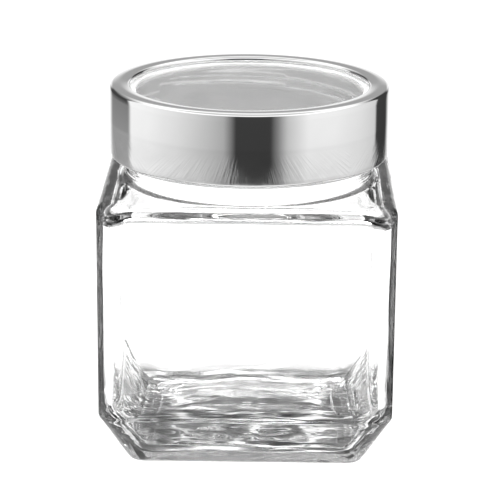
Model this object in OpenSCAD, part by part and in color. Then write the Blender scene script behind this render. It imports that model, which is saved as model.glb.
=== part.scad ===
// Square glass jar with a screw lid: a steel band and a clear window round a threaded plastic ring.
// Everything stands on z = 0 about the z axis, in millimetres.

/* [Glass body] */
// Width of the square body across its flats
body_w = 90; // [84:1:100]
// Radius of the body's upright corners
corner_r = 6.5; // [4:0.5:9]
// Height of the flat shoulder above the table
shoulder_h = 83.5; // [78:0.1:95]
// Thickness of the glass in the walls
wall = 3.5; // [3:0.25:4.5]
// Width of the square foot that the bevel runs down to
foot_w = 71; // [66:0.2:76]
// Height of the bevel round the foot
bevel_h = 17; // [14:0.5:22]
// Height of the middle of the domed inside floor
floor_h = 7; // [6.6:0.1:8]
// Depth of the domed hollow under the foot
push_up = 3.6; // [2.5:0.1:3.8]

/* [Neck] */
// Outside radius of the neck
neck_r = 38.6; // [38:0.1:39]
// Thickness of the glass in the neck
neck_wall = 3.4; // [2.6:0.1:4]
// Height of the sealing rim above the shoulder
neck_h = 24.8; // [24:0.1:25.2]
// How far the glass thread stands out from the neck
thread_h = 1.3; // [1:0.1:1.3]
// Rise of the thread in one turn of the lid
thread_lead = 10; // [8:0.5:12]

/* [Lid] */
// Outside radius of the steel band
band_r = 43.4; // [43.3:0.1:44.5]
// Height of the steel band
band_h = 22.4; // [22:0.1:22.8]
// Gap between the shoulder and the band
band_gap = 7; // [6.6:0.1:7.4]
// Thickness of the steel sheet
steel_t = 0.55; // [0.4:0.05:0.6]
// Width of the rolled ring round the window
lip_w = 6.3; // [5.5:0.1:6.8]
// Depth of the window below the top of the band
window_drop = 1.6; // [1.4:0.1:2]
// Thickness of the window
window_t = 1.8; // [1.4:0.1:2]

/* [Hidden] */

body_half = body_w / 2;
foot_half = foot_w / 2;
rim_h = shoulder_h + neck_h;

// Rounding radii of the glass
heel_r = 2.5;          // foot into bevel
bevel_blend_r = 3;     // bevel into wall
shoulder_edge_r = 2.2; // wall into shoulder
neck_fillet_r = 2.6;   // shoulder into neck
foot_corner_r = 4;     // corners of the foot
shoulder_corner_r = 10; // corners of the shoulder's flat top
inner_corner_r = 5;    // upright corners of the cavity
inner_floor_r = 6;     // cavity floor into its slope
inner_blend_r = 10;    // cavity slope into its wall
ceiling_r = 3;         // cavity wall into its ceiling
throat_r = 2.4;        // cavity ceiling into the bore
rim_r = 1.1;           // both edges of the rim
join_sunk = 0.15;      // how far a rounded join starts under the flat that it leaves

// Cavity inside the body
inner_half = body_half - wall;
dome_half = 25;        // edge of the floor's dome
dome_edge_h = 4.6;     // height of that edge
slope_half = 32.7;     // where the slope leaves the floor, before it is rounded
slope_low = 4.4;       // height of that place
slope_top = 18.2;      // where the slope meets the wall, before it is rounded
ceiling_h = shoulder_h - 3;
throat_h = shoulder_h - 1.6;
bore_r = neck_r - neck_wall;

// Domed hollow under the foot
hollow_half = 31;
hollow_corner_r = 6;
hollow_sunk = 0.05;    // how far the edge of the cutting dome starts under the foot

// Threads: two starts, half a lead apart
starts = 2;
thread_turn = 180;      // degrees that each start of the glass thread covers
thread_first = -40;     // angle at which the first start begins
thread_low = rim_h - 8.3; // middle of the glass thread where it begins
thread_base = 2.8;      // width of a thread where it leaves its wall
thread_crest = 1;       // width of a thread at its crest
thread_root = 0.5;      // how far a thread is sunk into its wall
thread_taper = 25;      // degrees over which a thread fades in and out
thread_gap = 0.4;       // clearance between the glass and the plastic
thread_seat = 2;        // how far the plastic thread lies under the glass one
ring_turn = 120;        // degrees that each start of the plastic thread covers
ring_phase = 30;        // how far round the glass thread the plastic one begins
thread_step = 5;        // degrees between two cross-sections

// Lid, from the outside in
band_low = shoulder_h + band_gap;
band_top = band_low + band_h;
shell_gap = 0.15;       // between the steel and the plastic
ring_out_r = band_r - steel_t - shell_gap;
ring_in_r = neck_r + thread_h + thread_gap;
window_top = band_top - window_drop;
window_low = window_top - window_t;
ring_drop = 0.8;        // how far the plastic ring stands out below the band
ring_low = band_low - ring_drop;
gasket_out_r = ring_in_r - 0.2;
gasket_in_r = bore_r + 0.2;
gasket_low = rim_h + 0.05;
gasket_top = window_low - 0.05;

band_edge_r = 1.6;      // wall into top ring
lip_edge_r = 1.2;       // top ring into the turned-down lip
hem_w = 1.3;            // folded hem turned in at the foot of the band
hem_r = 0.8;            // wall into hem
hem_top = band_low + 2 * steel_t;
skirt_r = band_r - hem_w - shell_gap; // outside of the plastic ring where it passes the hem

$fn = 96;
arc_steps = 5;          // pieces in each rounded corner of an outline
corner_steps = 10;      // pieces in each upright corner
dome_shares = [0.16, 0.4, 0.6, 0.75, 0.88, 1]; // sizes of a dome's rings, as shares of its edge
floor_power = 3;        // how late the floor's dome falls off
hollow_power = 4;       // how late the hollow's dome falls off

function between(a, b, share) = a + (b - a) * share;

// A step from 0 to 1 that starts and ends level.
function smooth(t) = let (u = min(1, max(0, t))) u * u * (3 - 2 * u);

// One corner of an outline, [x, y, radius], rounded between its neighbours.
function fillet(before, corner, after, steps) =
    let (
        p = [corner[0], corner[1]],
        to_before = [before[0], before[1]] - p,
        to_after = [after[0], after[1]] - p,
        u = to_before / norm(to_before),
        v = to_after / norm(to_after),
        half_angle = acos(u * v) / 2,
        r = corner[2],
        start = p + u * r / tan(half_angle),
        centre = p + (u + v) / norm(u + v) * r / sin(half_angle),
        from = start - centre,
        sweep = sign(u[0] * v[1] - u[1] * v[0]) * (2 * half_angle - 180)
    )
    r == 0 ? [p] : [
        for (i = [0:steps])
            let (a = sweep * i / steps)
            centre + [from[0] * cos(a) - from[1] * sin(a), from[0] * sin(a) + from[1] * cos(a)]
    ];

// A closed outline with every corner rounded by its own radius.
function rounded(corners, steps = arc_steps) = [
    for (i = [0:len(corners) - 1])
        each fillet(
            corners[(i + len(corners) - 1) % len(corners)],
            corners[i],
            corners[(i + 1) % len(corners)],
            steps
        )
];

// Points round a square of half-width half with rounded corners at height z, a circle where r is half.
function square_ring(half, r, z) = [
    for (quarter = [0:3], step = [0:corner_steps])
        let (
            a = 90 * (quarter + step / corner_steps),
            middle = 90 * quarter + 45,
            out = (half - r) * sqrt(2)
        )
        [out * cos(middle) + r * cos(a), out * sin(middle) + r * sin(a), z]
];

// Rings of a dome as [half-width, corner radius, height], from its middle out to its edge.
function dome(edge_half, edge_r, edge_z, middle_z, power) = [
    for (share = dome_shares)
        [
            edge_half * share,
            between(edge_half * share, edge_r, pow(smooth(share), 2)),
            between(middle_z, edge_z, pow(share, power))
        ]
];

// A solid through square rings, each a [half-width, corner radius, height].
module square_loft(sizes) {
    rings = [for (size = sizes) square_ring(size[0], size[1], size[2])];
    n = len(rings[0]);
    last = (len(rings) - 1) * n;
    sides = [
        for (k = [0:len(rings) - 2], i = [0:n - 1])
            let (a = k * n + i, b = k * n + (i + 1) % n)
            each [[a, a + n, b], [b, a + n, b + n]]
    ];
    polyhedron(
        points = [for (ring = rings) each ring],
        faces = concat([[for (i = [0:n - 1]) i]], sides, [[for (i = [n - 1:-1:0]) last + i]]),
        convexity = 6
    );
}

// A ridge wound round the z axis. It leaves a wall of radius wall_r and stands out by height, or in
// where height is negative. It starts at angle first and height low, and fades at both ends.
module thread_ridge(wall_r, height, turn, first, low) {
    side = sign(height);
    count = ceil(turn / thread_step);
    sections = [
        for (k = [0:count])
            let (
                a = turn * k / count,
                fade = min(1, a / thread_taper, (turn - a) / thread_taper),
                crest_r = wall_r + height * max(fade, 0.02),
                root_r = wall_r - side * thread_root,
                z = low + thread_lead * a / 360,
                wide = thread_base / 2 + thread_root * 0.3,
                narrow = thread_crest / 2
            )
            [
                for (p = [[root_r, -wide], [crest_r, -narrow], [crest_r, narrow], [root_r, wide]])
                    [p[0] * cos(first + a), p[0] * sin(first + a), z + p[1]]
            ]
    ];
    forward = [
        for (k = [0:count - 1], i = [0:3])
            let (a = 4 * k + i, b = 4 * k + (i + 1) % 4)
            each [[a, b, a + 4], [b, b + 4, a + 4]]
    ];
    ends = [[3, 2, 1, 0], [for (i = [0:3]) 4 * count + i]];
    faces = concat(forward, ends);
    polyhedron(
        points = [for (section = sections) each section],
        faces = side > 0 ? faces : [for (f = faces) [for (i = [len(f) - 1:-1:0]) f[i]]],
        convexity = 6
    );
}

// Corner radius that runs from wall_r to top_r over the last edge_r below the height top.
function corner_to(wall_r, top_r, top, edge_r, z) = between(wall_r, top_r, smooth((z - top) / edge_r + 1));

// Outside of the body, from the foot to the shoulder.
function body_sizes() =
    let (corners = rounded([
        [0, 0, 0],
        [foot_half, 0, heel_r],
        [body_half, bevel_h, bevel_blend_r],
        [body_half, shoulder_h, shoulder_edge_r],
        [0, shoulder_h, 0]
    ]))
    [
        for (i = [1:len(corners) - 2])
            let (
                z = corners[i][1],
                wall_r = between(foot_corner_r, corner_r, smooth(z / bevel_h))
            )
            [corners[i][0], corner_to(wall_r, shoulder_corner_r, shoulder_h, shoulder_edge_r, z), z]
    ];

// Cavity of the body, from the middle of its floor to the foot of the throat.
function cavity_sizes() =
    let (corners = rounded([
        [0, dome_edge_h, 0],
        [slope_half, slope_low, inner_floor_r],
        [inner_half, slope_top, inner_blend_r],
        [inner_half, ceiling_h, ceiling_r],
        [0, ceiling_h, 0]
    ]), throat_foot_r = bore_r + throat_r + 0.4)
    concat(
        dome(dome_half, inner_corner_r, dome_edge_h, floor_h, floor_power),
        [
            for (i = [1:len(corners) - 2])
                let (z = corners[i][1])
                [
                    corners[i][0],
                    corner_to(inner_corner_r, shoulder_corner_r - wall, ceiling_h, ceiling_r, z),
                    z
                ]
        ],
        [[throat_foot_r, throat_foot_r, throat_h + join_sunk]]
    );

// Hollow under the foot, from its edge up to its middle.
function hollow_sizes() =
    let (rings = dome(hollow_half, hollow_corner_r, -hollow_sunk, push_up, hollow_power))
    [for (i = [len(rings) - 1:-1:0]) rings[i]];

// Neck with its fillet and rounded rim, solid inside.
module neck() {
    sunk = 2;
    rotate_extrude()
        polygon(rounded([
            [0, shoulder_h - sunk, 0],
            [neck_r + neck_fillet_r, shoulder_h - sunk, 0],
            [neck_r + neck_fillet_r, shoulder_h - join_sunk, 0],
            [neck_r, shoulder_h - join_sunk, neck_fillet_r],
            [neck_r, rim_h, rim_r],
            [0, rim_h, 0]
        ]));
}

// Bore of the neck, flared into the cavity and over the rim.
module bore() {
    rotate_extrude()
        polygon(rounded([
            [0, throat_h - 1, 0],
            [bore_r + throat_r, throat_h - 1, 0],
            [bore_r + throat_r, throat_h, 0],
            [bore_r, throat_h, throat_r],
            [bore_r, rim_h, rim_r],
            [bore_r + 2 * rim_r, rim_h, 0],
            [bore_r + 2 * rim_r, rim_h + 1, 0],
            [0, rim_h + 1, 0]
        ]));
}

module glass_jar() {
    color([0.93, 0.95, 0.95, 0.35])
        difference() {
            union() {
                square_loft(body_sizes());
                neck();
                for (s = [0:starts - 1])
                    thread_ridge(neck_r, thread_h, thread_turn, thread_first + s * 360 / starts, thread_low);
            }
            square_loft(cavity_sizes());
            bore();
            square_loft(hollow_sizes());
        }
}

module lid_band() {
    inner_lip_r = band_r - lip_w;
    outer = rounded([
        [band_r - hem_w, band_low, 0],
        [band_r, band_low, hem_r],
        [band_r, band_top, band_edge_r],
        [inner_lip_r, band_top, lip_edge_r],
        [inner_lip_r, window_top + 0.05, 0],
        [inner_lip_r + steel_t, window_top + 0.05, 0],
        [inner_lip_r + steel_t, band_top - steel_t, lip_edge_r - steel_t],
        [band_r - steel_t, band_top - steel_t, band_edge_r - steel_t],
        [band_r - steel_t, hem_top, 0],
        [band_r - hem_w, hem_top, 0]
    ]);
    color([0.78, 0.79, 0.80])
        rotate_extrude()
            polygon(outer);
}

module lid_window() {
    color([0.96, 0.97, 0.97, 0.3])
        rotate_extrude()
            polygon(rounded([
                [0, window_low, 0],
                [ring_out_r - 0.3, window_low, 0.3],
                [ring_out_r - 0.3, window_top, 0.5],
                [0, window_top, 0]
            ]));
}

module lid_thread_ring() {
    color([0.93, 0.93, 0.91])
        union() {
            rotate_extrude()
                polygon(rounded([
                    [ring_in_r, ring_low, 0.5],
                    [skirt_r, ring_low, 0.3],
                    [skirt_r, hem_top + shell_gap, 0],
                    [ring_out_r, hem_top + shell_gap, 0],
                    [ring_out_r, window_low, 0],
                    [ring_in_r, window_low, 0]
                ]));
            for (s = [0:starts - 1])
                thread_ridge(
                    ring_in_r,
                    -thread_h,
                    ring_turn,
                    thread_first + ring_phase + s * 360 / starts,
                    thread_low + thread_lead * ring_phase / 360 - thread_seat
                );
        }
}

module lid_gasket() {
    color([0.95, 0.95, 0.93])
        rotate_extrude()
            polygon(rounded([
                [gasket_in_r, gasket_low, 0.4],
                [gasket_out_r, gasket_low, 0.3],
                [gasket_out_r, gasket_top, 0.3],
                [gasket_in_r, gasket_top, 0.4]
            ]));
}

glass_jar();
lid_band();
lid_window();
lid_thread_ring();
lid_gasket();
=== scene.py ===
# A clear square glass jar with a bevelled foot and a steel-banded screw lid, on a plain white table.
import math

import bpy
from mathutils import Matrix, Vector, noise


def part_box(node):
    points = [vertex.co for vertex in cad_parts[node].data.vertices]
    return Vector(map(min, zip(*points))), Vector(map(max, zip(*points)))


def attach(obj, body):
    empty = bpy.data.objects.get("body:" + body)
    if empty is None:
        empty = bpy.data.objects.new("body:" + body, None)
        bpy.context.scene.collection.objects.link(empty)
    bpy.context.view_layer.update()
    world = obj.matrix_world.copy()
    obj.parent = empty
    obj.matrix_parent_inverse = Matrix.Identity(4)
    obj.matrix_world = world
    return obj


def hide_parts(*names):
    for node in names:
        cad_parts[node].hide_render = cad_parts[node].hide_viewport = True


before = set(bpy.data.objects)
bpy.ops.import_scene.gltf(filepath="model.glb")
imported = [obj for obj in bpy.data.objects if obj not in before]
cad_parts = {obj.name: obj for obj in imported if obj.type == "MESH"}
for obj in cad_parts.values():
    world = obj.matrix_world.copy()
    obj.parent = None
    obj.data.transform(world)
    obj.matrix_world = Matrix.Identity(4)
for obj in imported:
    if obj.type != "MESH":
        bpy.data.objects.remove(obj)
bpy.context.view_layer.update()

MM = 0.001


def node_size(node):
    """(half-width, lowest height, highest height) of a CAD node, in millimetres."""
    low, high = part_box(node)
    return (high.x - low.x) / 2 / MM, low.z / MM, high.z / MM


# Sizes in millimetres, from the frame where a CAD node states them.
BODY_HALF, _, RIM_Z = node_size("glass_jar")
BAND_R, BAND_LOW, BAND_TOP = node_size("lid_band")
RING_R, RING_LOW, RING_TOP = node_size("lid_thread_ring")
WINDOW_R, WINDOW_LOW, WINDOW_TOP = node_size("lid_window")
GASKET_R, GASKET_LOW, GASKET_TOP = node_size("lid_gasket")

SHOULDER_Z = BAND_LOW - 7
NECK_R = 38.6
NECK_WALL = 3.4
BORE_R = NECK_R - NECK_WALL

# --- Outlines -------------------------------------------------------------------------------------


ARC_STEPS = 6


def rounded(corners):
    """An open outline through (x, y, radius) corners, each rounded by its own radius."""
    points = [Vector(corners[0][:2])]
    for before, corner, after in zip(corners, corners[1:], corners[2:]):
        p = Vector(corner[:2])
        radius = corner[2]
        if radius == 0:
            points.append(p)
            continue
        u = (Vector(before[:2]) - p).normalized()
        v = (Vector(after[:2]) - p).normalized()
        half_angle = u.angle(v) / 2
        start = p + u * radius / math.tan(half_angle)
        centre = p + (u + v).normalized() * radius / math.sin(half_angle)
        sweep = math.copysign(math.pi - 2 * half_angle, u.x * v.y - u.y * v.x) * -1
        arm = start - centre
        for i in range(ARC_STEPS + 1):
            turn = Matrix.Rotation(sweep * i / ARC_STEPS, 2)
            points.append(centre + turn @ arm)
    points.append(Vector(corners[-1][:2]))
    return points


def subdivided(points, longest):
    """The same outline with no stretch longer than longest."""
    out = [points[0]]
    for a, b in zip(points, points[1:]):
        count = max(1, math.ceil((b - a).length / longest))
        out.extend(a.lerp(b, i / count) for i in range(1, count + 1))
    return out


# Points in a quarter of a ring, and how many times closer together they stand on its arc
QUARTER_STEPS = 64
ARC_WEIGHT = 5


def square_ring(half, radius, z):
    """Points round a square with rounded corners, or round a circle where the radius is the half-width."""
    radius = min(radius, half)
    straight = half - radius
    arc = ARC_WEIGHT * radius * math.pi / 2
    whole = 2 * straight + arc
    points = []
    for quarter in range(4):
        turn = Matrix.Rotation(math.pi / 2 * quarter, 2)
        for step in range(QUARTER_STEPS):
            along = whole * step / QUARTER_STEPS
            if along < straight:
                p = Vector((half, along))
            elif along < straight + arc:
                angle = (along - straight) / arc * math.pi / 2
                p = Vector((straight + radius * math.cos(angle), straight + radius * math.sin(angle)))
            else:
                p = Vector((straight - (along - straight - arc), half))
            p = turn @ p
            points.append(Vector((p.x, p.y, z)))
    return points


def smooth_object(name, verts, faces):
    """A smooth-shaded object in the scene."""
    mesh = bpy.data.meshes.new(name)
    mesh.from_pydata(verts, [], faces)
    mesh.shade_smooth()
    obj = bpy.data.objects.new(name, mesh)
    bpy.context.scene.collection.objects.link(obj)
    return obj


def grid_mesh(name, rings):
    """A closed mesh through rings of points, with its first and last ring filled."""
    count = len(rings[0])
    verts = [p * MM for ring in rings for p in ring]
    faces = []
    for k in range(len(rings) - 1):
        for i in range(count):
            j = (i + 1) % count
            faces.append((k * count + i, k * count + j, (k + 1) * count + j, (k + 1) * count + i))
    for k, ring in ((0, rings[0]), (len(rings) - 1, rings[-1])):
        verts.append(sum(ring, Vector()) / count * MM)
        hub = len(verts) - 1
        for i in range(count):
            here, there = k * count + i, k * count + (i + 1) % count
            faces.append((hub, there, here) if k == 0 else (hub, here, there))
    return smooth_object(name, verts, faces)


# --- Glass jar ------------------------------------------------------------------------------------

# Outside of the body: its upright corners, its foot with the bevel over it, and the shoulder
CORNER_R = 6.5
FOOT_HALF = 35.5
FOOT_CORNER_R = 4
HEEL_R = 2.5
BEVEL_TOP = 17
BEVEL_BLEND_R = 3
SHOULDER_EDGE_R = 2.2
SHOULDER_CORNER_R = 10

# The domed hollow under the foot
HOLLOW_HALF = 31
HOLLOW_CORNER_R = 6
HOLLOW_POWER = 4
PUSH_UP = 3.6
HEEL_START_HALF = HOLLOW_HALF + 0.5

# Neck, and the heights where its bore and its plain outside end
NECK_FILLET_R = 2.6
RIM_R = 1.1
BORE_LOW = SHOULDER_Z + 3
NECK_PLAIN_TOP = SHOULDER_Z + 4

# Cavity: throat, ceiling, wall, inner bevel and domed floor
WALL = 3.5
THROAT_R = 2.4
THROAT_Z = SHOULDER_Z - 1.6
CEILING_R = 3
CEILING_Z = SHOULDER_Z - 3
INNER_HALF = BODY_HALF - WALL
INNER_CORNER_R = 5
WALL_MIDDLE_Z = 75
SLOPE_TOP = 18.2
SLOPE_TOP_R = 10
SLOPE_HALF = 32.7
SLOPE_LOW = 4.4
SLOPE_LOW_R = 6
FLOOR_HALF = 25
FLOOR_EDGE_Z = 4.6
FLOOR_POWER = 3
FLOOR_Z = 7

# Longest stretches of the outlines, rings of a dome and rings of a blend
BODY_STRETCH = 2.5
NECK_STRETCH = 0.25
THROAT_STRETCH = 0.7
CAVITY_STRETCH = 1.6
DOME_RINGS = 16
SHOULDER_RINGS = 5
CEILING_RINGS = 6
SMALLEST_RING = 0.4

# Threads of the neck and of the lid's ring; angles are in degrees
THREAD_H = 1.3
THREAD_LEAD = 10
THREAD_FIRST = -40
THREAD_TURN = 180
THREAD_TAPER = 25
THREAD_LOW = RIM_Z - 8.3
THREAD_HALF = 1.5
THREAD_FLANK = 0.8
THREAD_SEAT = 2
RING_TURN = 120
RING_PHASE = 30

# How far the outside and the cavity waver, and the size of their waves
RIPPLE_OUT = 0.03
RIPPLE_IN = 0.3
RIPPLE_SIZE = 16
RIPPLE_MIDDLE = -0.6


def smooth(t):
    """A smooth step from 0 at 0 to 1 at 1."""
    t = min(1, max(0, t))
    return t * t * (3 - 2 * t)


def between(a, b, t):
    """The value a share t of the way from a to b."""
    return a + (b - a) * t


def thread_height(angle, z, turn):
    """How far a thread stands out at an angle and a height, where each of its two starts covers turn."""
    out = 0
    for start in (0, 180):
        along = (angle - THREAD_FIRST - start) % 360
        if along > turn:
            continue
        fade = min(1, along / THREAD_TAPER, (turn - along) / THREAD_TAPER)
        away = abs(z - THREAD_LOW - THREAD_LEAD * along / 360)
        out = max(out, THREAD_H * fade * smooth((THREAD_HALF - away) / THREAD_FLANK))
    return out


def blended(outer, inner, steps):
    """Rings that turn one ring into another, without the first and the last."""
    return [[a.lerp(b, k / steps) for a, b in zip(outer, inner)] for k in range(1, steps)]


def dome_rings(half, edge_corner, edge_z, centre_z, power):
    """Rings from the middle of a dome or bowl out to its edge, round in the middle and square outside."""
    rings = []
    for k in range(1, DOME_RINGS + 1):
        share = k / DOME_RINGS
        size = max(half * share, SMALLEST_RING)
        corner = between(size, edge_corner, smooth(share) ** 2)
        z = between(centre_z, edge_z, share ** power)
        rings.append(square_ring(size, corner, z))
    return rings


def outside_rings():
    """Rings of the body's outside, from the middle of the hollow under it to the edge of the shoulder."""
    rings = dome_rings(HOLLOW_HALF, HOLLOW_CORNER_R, 0, PUSH_UP, HOLLOW_POWER)
    profile = subdivided(rounded([
        (HEEL_START_HALF, 0, 0),
        (FOOT_HALF, 0, HEEL_R),
        (BODY_HALF, BEVEL_TOP, BEVEL_BLEND_R),
        (BODY_HALF, SHOULDER_Z, SHOULDER_EDGE_R),
        (BODY_HALF - SHOULDER_EDGE_R - 0.1, SHOULDER_Z, 0),
    ]), BODY_STRETCH)
    for p in profile:
        corner = between(FOOT_CORNER_R, CORNER_R, smooth(p.y / BEVEL_TOP))
        corner = between(corner, SHOULDER_CORNER_R, smooth((p.y - SHOULDER_Z) / SHOULDER_EDGE_R + 1))
        rings.append(square_ring(p.x, corner, p.y))
    return rings


def neck_rings():
    """Rings of the neck, up its outside, over the rim and down the bore."""
    profile = subdivided(rounded([
        (NECK_R + NECK_FILLET_R, SHOULDER_Z, 0),
        (NECK_R, SHOULDER_Z, NECK_FILLET_R),
        (NECK_R, RIM_Z, RIM_R),
        (BORE_R, RIM_Z, RIM_R),
        (BORE_R, BORE_LOW, 0),
    ]), NECK_STRETCH)
    rings = []
    for p in profile:
        ring = square_ring(p.x, p.x, p.y)
        if p.x > BORE_R + NECK_WALL / 2 and p.y > NECK_PLAIN_TOP:
            for q in ring:
                out = 1 + thread_height(math.degrees(math.atan2(q.y, q.x)), p.y, THREAD_TURN) / p.x
                q.x *= out
                q.y *= out
        rings.append(ring)
    return rings


def cavity_rings():
    """Rings of the cavity from the bore over its ceiling, down the wall and across the floor."""
    throat = subdivided(rounded([
        (BORE_R, BORE_LOW, 0),
        (BORE_R, THROAT_Z, THROAT_R),
        (BORE_R + THROAT_R + 0.2, THROAT_Z, 0),
    ]), THROAT_STRETCH)
    rings = [square_ring(p.x, p.x, p.y) for p in throat[1:]]
    ceiling = subdivided(rounded([
        (INNER_HALF - CEILING_R - 0.2, CEILING_Z, 0),
        (INNER_HALF, CEILING_Z, CEILING_R),
        (INNER_HALF, WALL_MIDDLE_Z, 0),
    ]), THROAT_STRETCH)
    edge = []
    for p in ceiling:
        rounder = smooth((p.y - CEILING_Z) / CEILING_R + 1)
        edge.append(square_ring(p.x, between(INNER_CORNER_R, SHOULDER_CORNER_R - WALL, rounder), p.y))
    rings += blended(rings[-1], edge[0], CEILING_RINGS) + edge
    profile = subdivided(rounded([
        (INNER_HALF, WALL_MIDDLE_Z, 0),
        (INNER_HALF, SLOPE_TOP, SLOPE_TOP_R),
        (SLOPE_HALF, SLOPE_LOW, SLOPE_LOW_R),
        (FLOOR_HALF, FLOOR_EDGE_Z, 0),
    ]), CAVITY_STRETCH)
    rings += [square_ring(p.x, INNER_CORNER_R, p.y) for p in profile[1:]]
    floor = dome_rings(FLOOR_HALF, INNER_CORNER_R, FLOOR_EDGE_Z, FLOOR_Z, FLOOR_POWER)
    rings += reversed(floor[:-1])
    return rings


def make_jar():
    """The glass, as one closed skin from the hollow under it over the rim to the floor inside it."""
    outside = outside_rings()
    neck = neck_rings()
    inside = cavity_rings()
    outside += blended(outside[-1], neck[0], SHOULDER_RINGS)
    rings = outside + neck + inside
    ripple = [RIPPLE_OUT] * len(outside) + [0] * len(neck) + [RIPPLE_IN] * len(inside)
    jar = grid_mesh("jar_glass", rings)
    mesh = jar.data
    count = len(rings[0])
    moves = []
    for i, amount in enumerate(ripple):
        for vertex in mesh.vertices[i * count:(i + 1) * count]:
            wave = noise.noise(vertex.co / MM / RIPPLE_SIZE) + RIPPLE_MIDDLE
            moves.append(vertex.normal * amount * wave * MM)
    for vertex, move in zip(mesh.vertices, moves):
        vertex.co += move
    return jar


# --- Lid ------------------------------------------------------------------------------------------

LATHE_STEPS = 192


def lathe(name, outline, closed=True):
    """A mesh made by turning an outline of (radius, height) points about the z axis."""
    count = len(outline)
    verts = []
    for step in range(LATHE_STEPS):
        angle = 2 * math.pi * step / LATHE_STEPS
        for p in outline:
            verts.append(Vector((p.x * math.cos(angle), p.x * math.sin(angle), p.y)) * MM)
    faces = []
    for step in range(LATHE_STEPS):
        after = (step + 1) % LATHE_STEPS
        for i in range(count if closed else count - 1):
            j = (i + 1) % count
            faces.append((step * count + i, after * count + i, after * count + j, step * count + j))
    if not closed:
        for i, flip in ((0, True), (count - 1, False)):
            verts.append(Vector((0, 0, outline[i].y)) * MM)
            for step in range(LATHE_STEPS):
                after = (step + 1) % LATHE_STEPS
                face = (len(verts) - 1, step * count + i, after * count + i)
                faces.append(face[::-1] if flip else face)
    return smooth_object(name, verts, faces)


def closed_outline(corners, longest):
    """A closed outline through rounded corners, from the middle of its first stretch round to it again."""
    (x0, y0, _), (x1, y1, _) = corners[:2]
    middle = ((x0 + x1) / 2, (y0 + y1) / 2, 0)
    return subdivided(rounded([middle, *corners[1:], corners[0], middle]), longest)[:-1]


# The band: its sheet, the ring on its top, the hem at its foot and how far they swell
STEEL = 0.55
LIP_W = 6.3
HEM_W = 1.3
BARREL = 0.08
LIP_DOME = 0.3
WINDOW_GAP = 0.05
BAND_STRETCH = 1.2

# The window's edges and the radius where its caps' middles start
WINDOW_LOW_R = 0.3
WINDOW_TOP_R = 0.5
CAP_R = 0.3
WINDOW_STRETCH = 2

# The threaded ring, and its gap to the band
SHELL_GAP = 0.15
RING_IN_R = NECK_R + THREAD_H + 0.4
RING_STRETCH = 0.25

# The gasket, and the bead under it
GASKET_IN_R = BORE_R + 0.2
BEAD_HALF = 1
BEAD_H = 0.3
GASKET_STRETCH = 0.8


def make_band():
    """The steel band: a wall with a slight belly, a hem turned in at its foot and a domed ring on top."""
    lip_r = BAND_R - LIP_W
    wall_mid = (BAND_LOW + BAND_TOP) / 2
    lip_mid = (lip_r + BAND_R) / 2
    side = BAND_R - BARREL
    shoulder = BAND_TOP - LIP_DOME
    outline = closed_outline([
        (side - STEEL, wall_mid, 0),
        (side - STEEL, BAND_LOW + 2 * STEEL, 0.2),
        (BAND_R - HEM_W, BAND_LOW + 2 * STEEL, 0.2),
        (BAND_R - HEM_W, BAND_LOW, 0.5),
        (side, BAND_LOW, 0.75),
        (BAND_R, wall_mid, 60),
        (side, shoulder, 1.2),
        (lip_mid, BAND_TOP, 12),
        (lip_r, shoulder, 0.9),
        (lip_r, WINDOW_TOP + WINDOW_GAP, 0.2),
        (lip_r + STEEL, WINDOW_TOP + WINDOW_GAP, 0.2),
        (lip_r + STEEL, shoulder - STEEL, 0.4),
        (side - STEEL, shoulder - STEEL, 0.6),
    ], BAND_STRETCH)
    return lathe("steel_band", outline)


def make_window():
    """The clear window: a flat disc with rounded edges."""
    outline = subdivided(rounded([
        (CAP_R, WINDOW_LOW, 0),
        (WINDOW_R, WINDOW_LOW, WINDOW_LOW_R),
        (WINDOW_R, WINDOW_TOP, WINDOW_TOP_R),
        (CAP_R, WINDOW_TOP, 0),
    ]), WINDOW_STRETCH)
    return lathe("clear_window", outline, closed=False)


def make_ring():
    """The plastic ring inside the band, with its thread, seen under the band's hem."""
    skirt_r = BAND_R - HEM_W - SHELL_GAP
    step = BAND_LOW + 2 * STEEL + SHELL_GAP
    middle = (RING_LOW + RING_TOP) / 2
    outline = closed_outline([
        (RING_IN_R, middle, 0),
        (RING_IN_R, RING_TOP, 0.3),
        (RING_R, RING_TOP, 0.2),
        (RING_R, step, 0.2),
        (skirt_r, step, 0.2),
        (skirt_r, RING_LOW, 0.4),
        (RING_IN_R, RING_LOW, 0.5),
    ], RING_STRETCH)
    ring = lathe("thread_ring", outline)
    for vertex in ring.data.vertices:
        p = vertex.co / MM
        if math.hypot(p.x, p.y) < RING_IN_R + 0.05:
            angle = math.degrees(math.atan2(p.y, p.x)) - RING_PHASE
            drop = THREAD_SEAT - THREAD_LEAD * RING_PHASE / 360
            inwards = 1 - thread_height(angle, p.z + drop, RING_TURN) / RING_IN_R
            vertex.co.x *= inwards
            vertex.co.y *= inwards
    return ring


def make_gasket():
    """The sealing ring, with a bead round the middle of its underside."""
    middle = (GASKET_R + BORE_R) / 2
    flat = GASKET_LOW + BEAD_H
    outline = closed_outline([
        (GASKET_IN_R, (GASKET_LOW + GASKET_TOP) / 2, 0),
        (GASKET_IN_R, GASKET_TOP, 0.3),
        (GASKET_R, GASKET_TOP, 0.3),
        (GASKET_R, flat, 0.2),
        (middle + BEAD_HALF, flat, 0.2),
        (middle, GASKET_LOW, 0.3),
        (middle - BEAD_HALF, flat, 0.2),
        (GASKET_IN_R, flat, 0.2),
    ], GASKET_STRETCH)
    return lathe("seal_ring", outline)


# --- Materials ------------------------------------------------------------------------------------


def new_material(name):
    """A material with its nodes, its links and its main shader."""
    material = bpy.data.materials.new(name)
    material.use_nodes = True
    nodes = material.node_tree.nodes
    return material, nodes, material.node_tree.links, nodes["Principled BSDF"]


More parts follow.
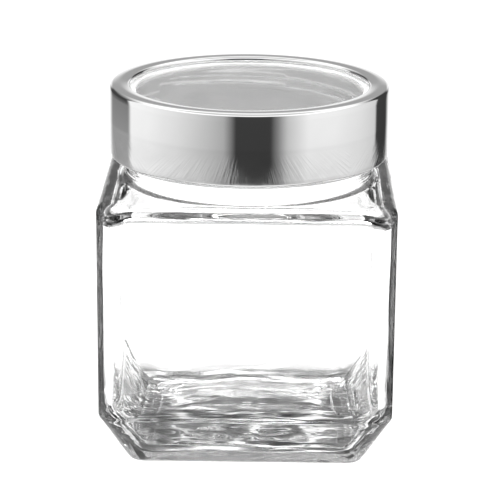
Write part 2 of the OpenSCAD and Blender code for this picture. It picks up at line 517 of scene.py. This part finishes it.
def object_axes(nodes, links):
    """The three axes of the object's own metres, as sockets."""
    place = nodes.new("ShaderNodeTexCoord")
    split = nodes.new("ShaderNodeSeparateXYZ")
    links.new(place.outputs["Object"], split.inputs[0])
    return split.outputs["X"], split.outputs["Y"], split.outputs["Z"]


def object_noise(nodes, links, scale, detail=2, stretch=(1, 1, 1), turn=(0, 0, 0)):
    """A noise texture in the piece's own metres; stretch and turn bend its grain."""
    place = nodes.new("ShaderNodeTexCoord")
    mapping = nodes.new("ShaderNodeMapping")
    mapping.inputs["Scale"].default_value = stretch
    mapping.inputs["Rotation"].default_value = turn
    texture = nodes.new("ShaderNodeTexNoise")
    texture.inputs["Scale"].default_value = scale
    texture.inputs["Detail"].default_value = detail
    links.new(place.outputs["Object"], mapping.inputs["Vector"])
    links.new(mapping.outputs[0], texture.inputs["Vector"])
    return texture.outputs["Fac"]


def ranged(nodes, links, value, low, high, start=0.0, end=1.0):
    """The value moved from start..end to low..high."""
    node = nodes.new("ShaderNodeMapRange")
    node.inputs["From Min"].default_value = start
    node.inputs["From Max"].default_value = end
    node.inputs["To Min"].default_value = low
    node.inputs["To Max"].default_value = high
    links.new(value, node.inputs["Value"])
    return node.outputs[0]


def maths(nodes, links, operation, a, b):
    """One Math node; a is a socket and b a socket or a number."""
    node = nodes.new("ShaderNodeMath")
    node.operation = operation
    links.new(a, node.inputs[0])
    if isinstance(b, (int, float)):
        node.inputs[1].default_value = b
    else:
        links.new(b, node.inputs[1])
    return node.outputs[0]


def absolute(nodes, links, value):
    """The value without its sign."""
    node = nodes.new("ShaderNodeMath")
    node.operation = "ABSOLUTE"
    links.new(value, node.inputs[0])
    return node.outputs[0]


def wrapped(nodes, links, value, low, high):
    """The value brought between low and high by whole steps of their distance."""
    node = nodes.new("ShaderNodeMath")
    node.operation = "WRAP"
    links.new(value, node.inputs[0])
    node.inputs[1].default_value = high
    node.inputs[2].default_value = low
    return node.outputs[0]


def stepped(nodes, links, value, start, end):
    """A smooth step from 0 at start to 1 at end."""
    node = nodes.new("ShaderNodeMapRange")
    node.interpolation_type = "SMOOTHSTEP"
    node.inputs["From Min"].default_value = start
    node.inputs["From Max"].default_value = end
    links.new(value, node.inputs["Value"])
    return node.outputs[0]


def bumped(nodes, links, shader, height, strength, distance):
    """Bump from a height socket."""
    node = nodes.new("ShaderNodeBump")
    node.inputs["Strength"].default_value = strength
    node.inputs["Distance"].default_value = distance
    links.new(height, node.inputs["Height"])
    links.new(node.outputs[0], shader.inputs["Normal"])


def tinted(nodes, links, shader, value, dark, light):
    """Base colour that runs from dark to light grey with a value."""
    ramp = nodes.new("ShaderNodeValToRGB")
    ramp.color_ramp.elements[0].color = (dark, dark, dark, 1)
    ramp.color_ramp.elements[1].color = (light, light, light, 1)
    links.new(value, ramp.inputs[0])
    links.new(ramp.outputs[0], shader.inputs["Base Color"])


# Waves in the glass: their grain, the heights in metres where they end, and how strong they are
WAVE_SCALE = 110
WAVE_STRETCH = (0.35, 1, 1)
FOOT_WAVES_END = (0.014, 0.026)
WALL_WAVES = 0.02
SHOULDER_WAVES = 0.25
SHOULDER_WAVES_START = (0.078, 0.083)
WAVE_DEPTH = 0.0008

# Upright streaks in the corners, where the mould parts meet
STREAK_SCALE = 320
STREAK_STRETCH = (1, 1, 0.06)
STREAK_SHARE = 0.12
STREAK_START = (0.033, 0.040)


def glass_material():
    """Clear glass, smooth on the walls and wavy at the foot and the shoulder."""
    material, nodes, links, shader = new_material("clear_glass")
    shader.inputs["Base Color"].default_value = (1, 1, 1, 1)
    shader.inputs["Roughness"].default_value = 0
    shader.inputs["IOR"].default_value = 1.52
    shader.inputs["Transmission Weight"].default_value = 1
    x, y, z = object_axes(nodes, links)
    foot = ranged(nodes, links, z, 1, WALL_WAVES, *FOOT_WAVES_END)
    top = ranged(nodes, links, z, WALL_WAVES, SHOULDER_WAVES, *SHOULDER_WAVES_START)
    wavy = maths(nodes, links, "MAXIMUM", foot, top)
    grain = object_noise(nodes, links, WAVE_SCALE, stretch=WAVE_STRETCH)
    waves = maths(nodes, links, "MULTIPLY", grain, wavy)
    nearer = maths(nodes, links, "MINIMUM", absolute(nodes, links, x), absolute(nodes, links, y))
    corner = stepped(nodes, links, nearer, *STREAK_START)
    lines = object_noise(nodes, links, STREAK_SCALE, stretch=STREAK_STRETCH)
    streaks = maths(nodes, links, "MULTIPLY", maths(nodes, links, "MULTIPLY", lines, corner), STREAK_SHARE)
    bumped(nodes, links, shader, maths(nodes, links, "ADD", waves, streaks), 1, WAVE_DEPTH)
    absorb = nodes.new("ShaderNodeVolumeAbsorption")
    absorb.inputs["Color"].default_value = (0, 0, 0, 1)
    absorb.inputs["Density"].default_value = 15
    links.new(absorb.outputs[0], nodes["Material Output"].inputs["Volume"])
    return material


# Polishing strokes: how much wider their fans are at the foot, how high up the band they spread in
# millimetres, how many there are to a metre round the band, and how much longer than wide they are
FAN_SPREAD = 1.9
FAN_H = 14
FAN_HALF = math.pi / 4
STROKES = 1500
STROKE_LENGTH = 16
STROKE_DEPTH = 0.00016

# Heights over the band's foot, in millimetres, between which the polish takes over from the strokes
WORN_LOW = 1
WORN_TOP = 10


def steel_material():
    """Polished steel, brushed in short slanting strokes towards the foot of the band."""
    material, nodes, links, shader = new_material("polished_steel")
    shader.inputs["Metallic"].default_value = 1
    x, y, z = object_axes(nodes, links)
    # strokes: a noise on the unrolled wall, drawn out along four fans that spread towards the foot
    angle = maths(nodes, links, "ARCTAN2", x, maths(nodes, links, "MULTIPLY", y, -1))
    fan = wrapped(nodes, links, angle, -FAN_HALF, FAN_HALF)
    spread = ranged(nodes, links, z, FAN_SPREAD, 1, BAND_LOW * MM, (BAND_LOW + FAN_H) * MM)
    across = maths(nodes, links, "DIVIDE", fan, spread)
    grain = nodes.new("ShaderNodeCombineXYZ")
    links.new(maths(nodes, links, "MULTIPLY", across, STROKES * BAND_R * MM), grain.inputs[0])
    links.new(maths(nodes, links, "MULTIPLY", z, STROKES / STROKE_LENGTH), grain.inputs[1])
    strokes = nodes.new("ShaderNodeTexNoise")
    strokes.inputs["Scale"].default_value = 1
    strokes.inputs["Detail"].default_value = 4
    links.new(grain.outputs[0], strokes.inputs["Vector"])
    cloud = object_noise(nodes, links, 90)
    low = ranged(nodes, links, z, 1, 0, (BAND_LOW + WORN_LOW) * MM, (BAND_LOW + WORN_TOP) * MM)
    worn = maths(nodes, links, "MULTIPLY", low, ranged(nodes, links, cloud, 0, 1.4, 0.3, 0.7))
    links.new(ranged(nodes, links, worn, 0.06, 0.19), shader.inputs["Roughness"])
    height = maths(nodes, links, "MULTIPLY", strokes.outputs["Fac"], worn)
    bumped(nodes, links, shader, height, 0.7, STROKE_DEPTH)
    tinted(nodes, links, shader, cloud, 0.82, 0.88)
    return material


def window_material():
    """Clear hard plastic with the faintest wipe marks."""
    material, nodes, links, shader = new_material("clear_plastic")
    shader.inputs["IOR"].default_value = 1.49
    shader.inputs["Transmission Weight"].default_value = 0.93
    wipes = object_noise(nodes, links, 60, 3, stretch=(1, 6, 1), turn=(0, 0, 0.6))
    links.new(ranged(nodes, links, wipes, 0, 0.05, 0.35, 0.75), shader.inputs["Roughness"])
    bumped(nodes, links, shader, object_noise(nodes, links, 25), 0.1, 0.0001)
    tinted(nodes, links, shader, wipes, 0.97, 1)
    return material


# Painted highlight for the light that the neck's thread throws on the ring: two glowing lines along the
# thread, in millimetres over its middle, that waver a little and drop by a step at the mould seam
GLINTS = (2.3, -0.6)
GLINT_HALF = 0.45
GLINT_WAVER = 0.6
GLINT_GLOW = 0.6
SEAM_ANGLE = 73
SEAM_HALF = 1.5
SEAM_STEP = 0.7


def ring_material():
    """Natural plastic, milky and a little uneven, with two glowing lines of painted highlight along the
    neck's thread.
    """
    material, nodes, links, shader = new_material("natural_plastic")
    shader.inputs["IOR"].default_value = 1.49
    shader.inputs["Transmission Weight"].default_value = 0.12
    x, y, z = object_axes(nodes, links)
    angle = maths(nodes, links, "ARCTAN2", y, x)
    turned = maths(nodes, links, "SUBTRACT", angle, math.radians(THREAD_FIRST))
    along = wrapped(nodes, links, turned, 0, math.pi)
    rise = maths(nodes, links, "MULTIPLY", along, THREAD_LEAD * MM / (2 * math.pi))
    before, after = math.radians(SEAM_ANGLE + SEAM_HALF), math.radians(SEAM_ANGLE - SEAM_HALF)
    seam = maths(nodes, links, "MULTIPLY", stepped(nodes, links, angle, before, after), SEAM_STEP * MM)
    over = maths(nodes, links, "SUBTRACT", z, THREAD_LOW * MM)
    over = maths(nodes, links, "SUBTRACT", over, rise)
    over = maths(nodes, links, "ADD", over, seam)
    waver = ranged(nodes, links, object_noise(nodes, links, 60), -GLINT_WAVER * MM, GLINT_WAVER * MM)
    over = maths(nodes, links, "ADD", over, waver)
    glints = []
    for height in GLINTS:
        apart = absolute(nodes, links, maths(nodes, links, "SUBTRACT", over, height * MM))
        glints.append(stepped(nodes, links, apart, GLINT_HALF * MM, 0))
    glint = maths(nodes, links, "MAXIMUM", *glints)
    cloud = object_noise(nodes, links, 70, 3)
    # painted highlight: the thread lines lighten the base colour and glow, over the plastic's own uneven
    # tone
    shade = maths(nodes, links, "MAXIMUM", glint, maths(nodes, links, "MULTIPLY", cloud, 0.3))
    tinted(nodes, links, shader, shade, 0.72, 0.97)
    shader.inputs["Emission Color"].default_value = (1, 1, 1, 1)
    links.new(maths(nodes, links, "MULTIPLY", glint, GLINT_GLOW), shader.inputs["Emission Strength"])
    links.new(ranged(nodes, links, cloud, 0.28, 0.42), shader.inputs["Roughness"])
    bumped(nodes, links, shader, object_noise(nodes, links, 900, 3), 0.2, 0.00005)
    return material


def seal_material():
    """White soft seal with a fine open grain and a painted glow that makes it look lit."""
    material, nodes, links, shader = new_material("white_seal")
    cloud = object_noise(nodes, links, 120, 3)
    tinted(nodes, links, shader, cloud, 0.88, 0.95)
    # painted light: the seal glows, more where its grain is lighter
    shader.inputs["Emission Color"].default_value = (1, 1, 1, 1)
    links.new(ranged(nodes, links, cloud, 0.45, 0.6), shader.inputs["Emission Strength"])
    links.new(ranged(nodes, links, cloud, 0.5, 0.7), shader.inputs["Roughness"])
    bumped(nodes, links, shader, object_noise(nodes, links, 2200, 4), 0.3, 0.00005)
    return material


def finish_piece(piece, material, body, node):
    """Gives a piece its material and its body, and hides the CAD node that it stands for."""
    piece.data.materials.append(material)
    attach(piece, body)
    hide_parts(node)


finish_piece(make_jar(), glass_material(), "jar", "glass_jar")
finish_piece(make_band(), steel_material(), "lid", "lid_band")
finish_piece(make_window(), window_material(), "lid", "lid_window")
finish_piece(make_ring(), ring_material(), "lid", "lid_thread_ring")
finish_piece(make_gasket(), seal_material(), "seal", "lid_gasket")


# --- Table, light and camera ------------------------------------------------------------------------


def ramped(nodes, links, value, stops):
    """A grey that follows a 0..1 value through (position, grey) stops."""
    ramp = nodes.new("ShaderNodeValToRGB")
    elements = ramp.color_ramp.elements
    while len(elements) > 1:
        elements.remove(elements[0])
    for i, (position, grey) in enumerate(stops):
        element = elements[0] if i == 0 else elements.new(position)
        element.position = position
        element.color = (grey, grey, grey, 1)
    links.new(value, ramp.inputs[0])
    return ramp.outputs[0]


def mixed(nodes, links, factor, a, b, blend="MIX"):
    """A colour mix; factor and b are sockets or numbers, a is a socket."""
    node = nodes.new("ShaderNodeMix")
    node.data_type = "RGBA"
    node.blend_type = blend
    for value, socket in ((factor, node.inputs["Factor"]), (a, node.inputs[6]), (b, node.inputs[7])):
        if not isinstance(value, (int, float)):
            links.new(value, socket)
        elif socket == node.inputs["Factor"]:
            socket.default_value = value
        else:
            socket.default_value = (value, value, value, 1)
    return node.outputs[2]


def by_azimuth(stops):
    """Stops at azimuths in degrees, as positions for ramped."""
    return [((deg + 180) / 360, grey) for deg, grey in stops]


def height_of(deg):
    """How high a direction points, from -1 to 1, at an angle in degrees above the horizon."""
    return math.sin(math.radians(deg))


def by_height(stops):
    """Stops at angles in degrees above the horizon, as positions for ramped."""
    return [(height_of(deg), grey) for deg, grey in stops]


# The table: its half-width in metres, what it glows with and how bright the camera sees it
TABLE_HALF = 3
TABLE_GLOW = 0.8
SEEN_WHITE = 1.3
TABLE_DROP = 0.0002

# The painted shadow under the jar, where the table stops glowing, in metres from its middle, reaches twice
# as far out to its sides
SHADE_EDGE = (0.036, 0.054)
SHADE_WIDTH = 2

# Patches of painted caustic light and painted shadow on the table under the base: their grain and which
# noise values are bright or dark
PATCH_SCALE = 170
PATCH_STRETCH = (0.35, 1, 1)
PAINTED_LIGHT_PATCHES = (0, 1.3, 0.52, 0.6)
PAINTED_SHADE_PATCHES = (0.01, 0.45, 0.4, 0.54)


def make_table():
    """A white table that glows outside a painted shadow under the jar, with patches of painted light and
    painted shadow in it.
    """
    s = TABLE_HALF
    mesh = bpy.data.meshes.new("table")
    mesh.from_pydata([(-s, -s, 0), (s, -s, 0), (s, s, 0), (-s, s, 0)], [], [(0, 1, 2, 3)])
    table = bpy.data.objects.new("table", mesh)
    bpy.context.scene.collection.objects.link(table)
    material, nodes, links, shader = new_material("table")
    shader.inputs["Roughness"].default_value = 1
    shader.inputs["Specular IOR Level"].default_value = 0
    shader.inputs["Emission Color"].default_value = (1, 1, 1, 1)
    x, y, _ = object_axes(nodes, links)
    beside = maths(nodes, links, "MULTIPLY", absolute(nodes, links, x), 1 / SHADE_WIDTH)
    reach = maths(nodes, links, "MAXIMUM", beside, absolute(nodes, links, y))
    # painted shadow: the table's glow gives way under the jar
    glow = maths(nodes, links, "MULTIPLY", stepped(nodes, links, reach, *SHADE_EDGE), TABLE_GLOW)
    patches = object_noise(nodes, links, PATCH_SCALE, 4, stretch=PATCH_STRETCH)
    # painted light: bright patches glow under the base, standing in for light that the glass gathers
    bright = ranged(nodes, links, patches, *PAINTED_LIGHT_PATCHES)
    links.new(maths(nodes, links, "MAXIMUM", glow, bright), shader.inputs["Emission Strength"])
    # painted shadow: dark patches in the table's colour under the base
    dark = ranged(nodes, links, patches, *PAINTED_SHADE_PATCHES)
    links.new(maths(nodes, links, "MAXIMUM", glow, dark), shader.inputs["Base Color"])
    # the camera sees plain white
    shown = nodes.new("ShaderNodeEmission")
    shown.inputs["Strength"].default_value = SEEN_WHITE
    path = nodes.new("ShaderNodeLightPath")
    mix = nodes.new("ShaderNodeMixShader")
    links.new(path.outputs["Is Camera Ray"], mix.inputs["Fac"])
    links.new(shader.outputs[0], mix.inputs[1])
    links.new(shown.outputs[0], mix.inputs[2])
    links.new(mix.outputs[0], nodes["Material Output"].inputs["Surface"])
    mesh.materials.append(material)
    table.location.z = -TABLE_DROP
    table.visible_glossy = False


# Light as the steel sees it, as (degrees, grey) stops. Azimuths run from the front (-Y) towards +X.
PANELS = (
    (-180, 0.50), (-116, 0.50), (-112, 1.03), (-90, 1.00), (-60, 0.83), (-30, 0.57), (-20, 0.47),
    (-10, 0.05), (18, 0.05), (24, 0.25), (32, 0.62), (50, 0.96), (75, 0.96), (105, 0.85), (126, 0.70),
    (129, 0.05), (165, 0.04), (180, 0.50),
)
LEFT_FLAGS = (
    (-34, 0.15), (-24, 0.8), (-17, 1), (-14.5, 0.8), (-12, 0.3), (-9, 0.12), (14, 0.12), (25, 0.6),
)
LEFT_EDGE = (-112, -118)
FADE_EDGE = (-20, -11)
BACKDROP = ((0, 1.0), (8, 1.0), (13, 0.4), (22, 0.4), (34, 1.0))
BACKDROP_EDGE = (150, 165)
GROUND = 1.1
GROUND_EDGE = (-22, -30)
OVERHEAD = 1.5
OVERHEAD_EDGE = (25, 50)
TOP = 0.7
TOP_EDGE = (48, 70)

# Light as the glass sees it: a white screen behind, dark sides and a small bright box straight above
SCREEN = ((0, 1.0), (26, 1.0), (36, 0.06))
SCREEN_SIDES = (
    (-180, 1.0), (-162, 1.0), (-152, 0.5), (-142, 0.3), (-132, 0.22), (-124, 0.06), (-114, 0.06),
    (-104, 0.5), (-84, 0.5), (-70, 0.06), (66, 0.06), (80, 0.5), (98, 0.5), (110, 0.06), (122, 0.06),
    (132, 0.22), (142, 0.3), (152, 0.5), (162, 0.8), (170, 1.0),
)
BOX = 10.0
BOX_EDGE = (58, 64)


def make_world():
    """Soft panels for the steel to mirror, a screen and a box behind the glass, and white for the camera."""
    world = bpy.data.worlds.new("studio")
    world.use_nodes = True
    bpy.context.scene.world = world
    nodes, links = world.node_tree.nodes, world.node_tree.links
    coords = nodes.new("ShaderNodeTexCoord")
    split = nodes.new("ShaderNodeSeparateXYZ")
    links.new(coords.outputs["Generated"], split.inputs[0])
    x, y, up = split.outputs
    angle = maths(nodes, links, "ARCTAN2", x, maths(nodes, links, "MULTIPLY", y, -1))
    turn = ranged(nodes, links, angle, 0, 1, -math.pi, math.pi)

    def at_height(edge):
        return stepped(nodes, links, up, *map(height_of, edge))

    # panels all round, a little darker towards the ground
    panels = ramped(nodes, links, turn, by_azimuth(PANELS))
    fade = ranged(nodes, links, at_height(FADE_EDGE), 0.78, 1.05)
    room = mixed(nodes, links, 1, panels, fade, "MULTIPLY")
    # dark flags over and under the left side panel; the ramp runs over heights from -1 to 1
    left = stepped(nodes, links, angle, *map(math.radians, LEFT_EDGE))
    flags = ramped(nodes, links, ranged(nodes, links, up, 0, 1, -1, 1), [
        ((height + 1) / 2, grey) for height, grey in by_height(LEFT_FLAGS)
    ])
    room = mixed(nodes, links, left, room, flags, "MULTIPLY")
    # a backdrop, white near the horizon and grey above it
    drop = ramped(nodes, links, up, by_height(BACKDROP))
    behind = stepped(nodes, links, absolute(nodes, links, angle), *map(math.radians, BACKDROP_EDGE))
    room = mixed(nodes, links, behind, room, drop)
    # the pale ground, and the ceiling that is brightest half-way up
    room = mixed(nodes, links, at_height(GROUND_EDGE), room, GROUND)
    room = mixed(nodes, links, at_height(OVERHEAD_EDGE), room, OVERHEAD)
    room = mixed(nodes, links, at_height(TOP_EDGE), room, TOP)
    # what is seen through the glass
    screen = ramped(nodes, links, up, by_height(SCREEN))
    sides = ramped(nodes, links, turn, by_azimuth(SCREEN_SIDES))
    field = mixed(nodes, links, 1, screen, sides, "MULTIPLY")
    field = mixed(nodes, links, at_height(BOX_EDGE), field, BOX)
    path = nodes.new("ShaderNodeLightPath")
    room = mixed(nodes, links, path.outputs["Is Transmission Ray"], room, field)
    room = mixed(nodes, links, path.outputs["Is Camera Ray"], room, SEEN_WHITE)
    background = nodes["Background"]
    links.new(room, background.inputs["Color"])
    background.inputs["Strength"].default_value = 1


# The camera: angles in degrees, lens and sensor in millimetres, distance in metres, and the point
# that it looks at with its shift to the side, in millimetres
PITCH, YAW, ROLL = 17.04, 0.64, 0.50
SENSOR = 36
LENS = 158.832
DISTANCE = 0.700
LOOK_Z = 58.19
ASIDE = 0.59


def make_camera():
    """The camera looks down at the jar from the front, turned a little to its right and a little tilted."""
    pitch, yaw, roll = map(math.radians, (PITCH, YAW, ROLL))
    data = bpy.data.cameras.new("camera")
    data.sensor_width = SENSOR
    data.lens = LENS
    data.clip_start = 0.01
    camera = bpy.data.objects.new("camera", data)
    bpy.context.scene.collection.objects.link(camera)
    bpy.context.scene.camera = camera
    turn = Matrix.Rotation(yaw, 4, "Z")
    back = turn @ Vector((0, -math.cos(pitch), math.sin(pitch)))
    side = turn @ Vector((1, 0, 0))
    look = Vector((0, 0, LOOK_Z)) * MM
    place = look + back * DISTANCE + side * ASIDE * MM
    basis = Matrix((side, back.cross(side), back)).transposed().to_4x4()
    camera.matrix_world = Matrix.Translation(place) @ basis @ Matrix.Rotation(roll, 4, "Z")


make_table()
make_world()
make_camera()
bpy.context.scene.view_settings.view_transform = "Standard"
# light that runs along inside the glass walls turns many times before it leaves them
bpy.context.scene.cycles.max_bounces = 32
bpy.context.scene.cycles.glossy_bounces = 24
bpy.context.scene.cycles.transmission_bounces = 24
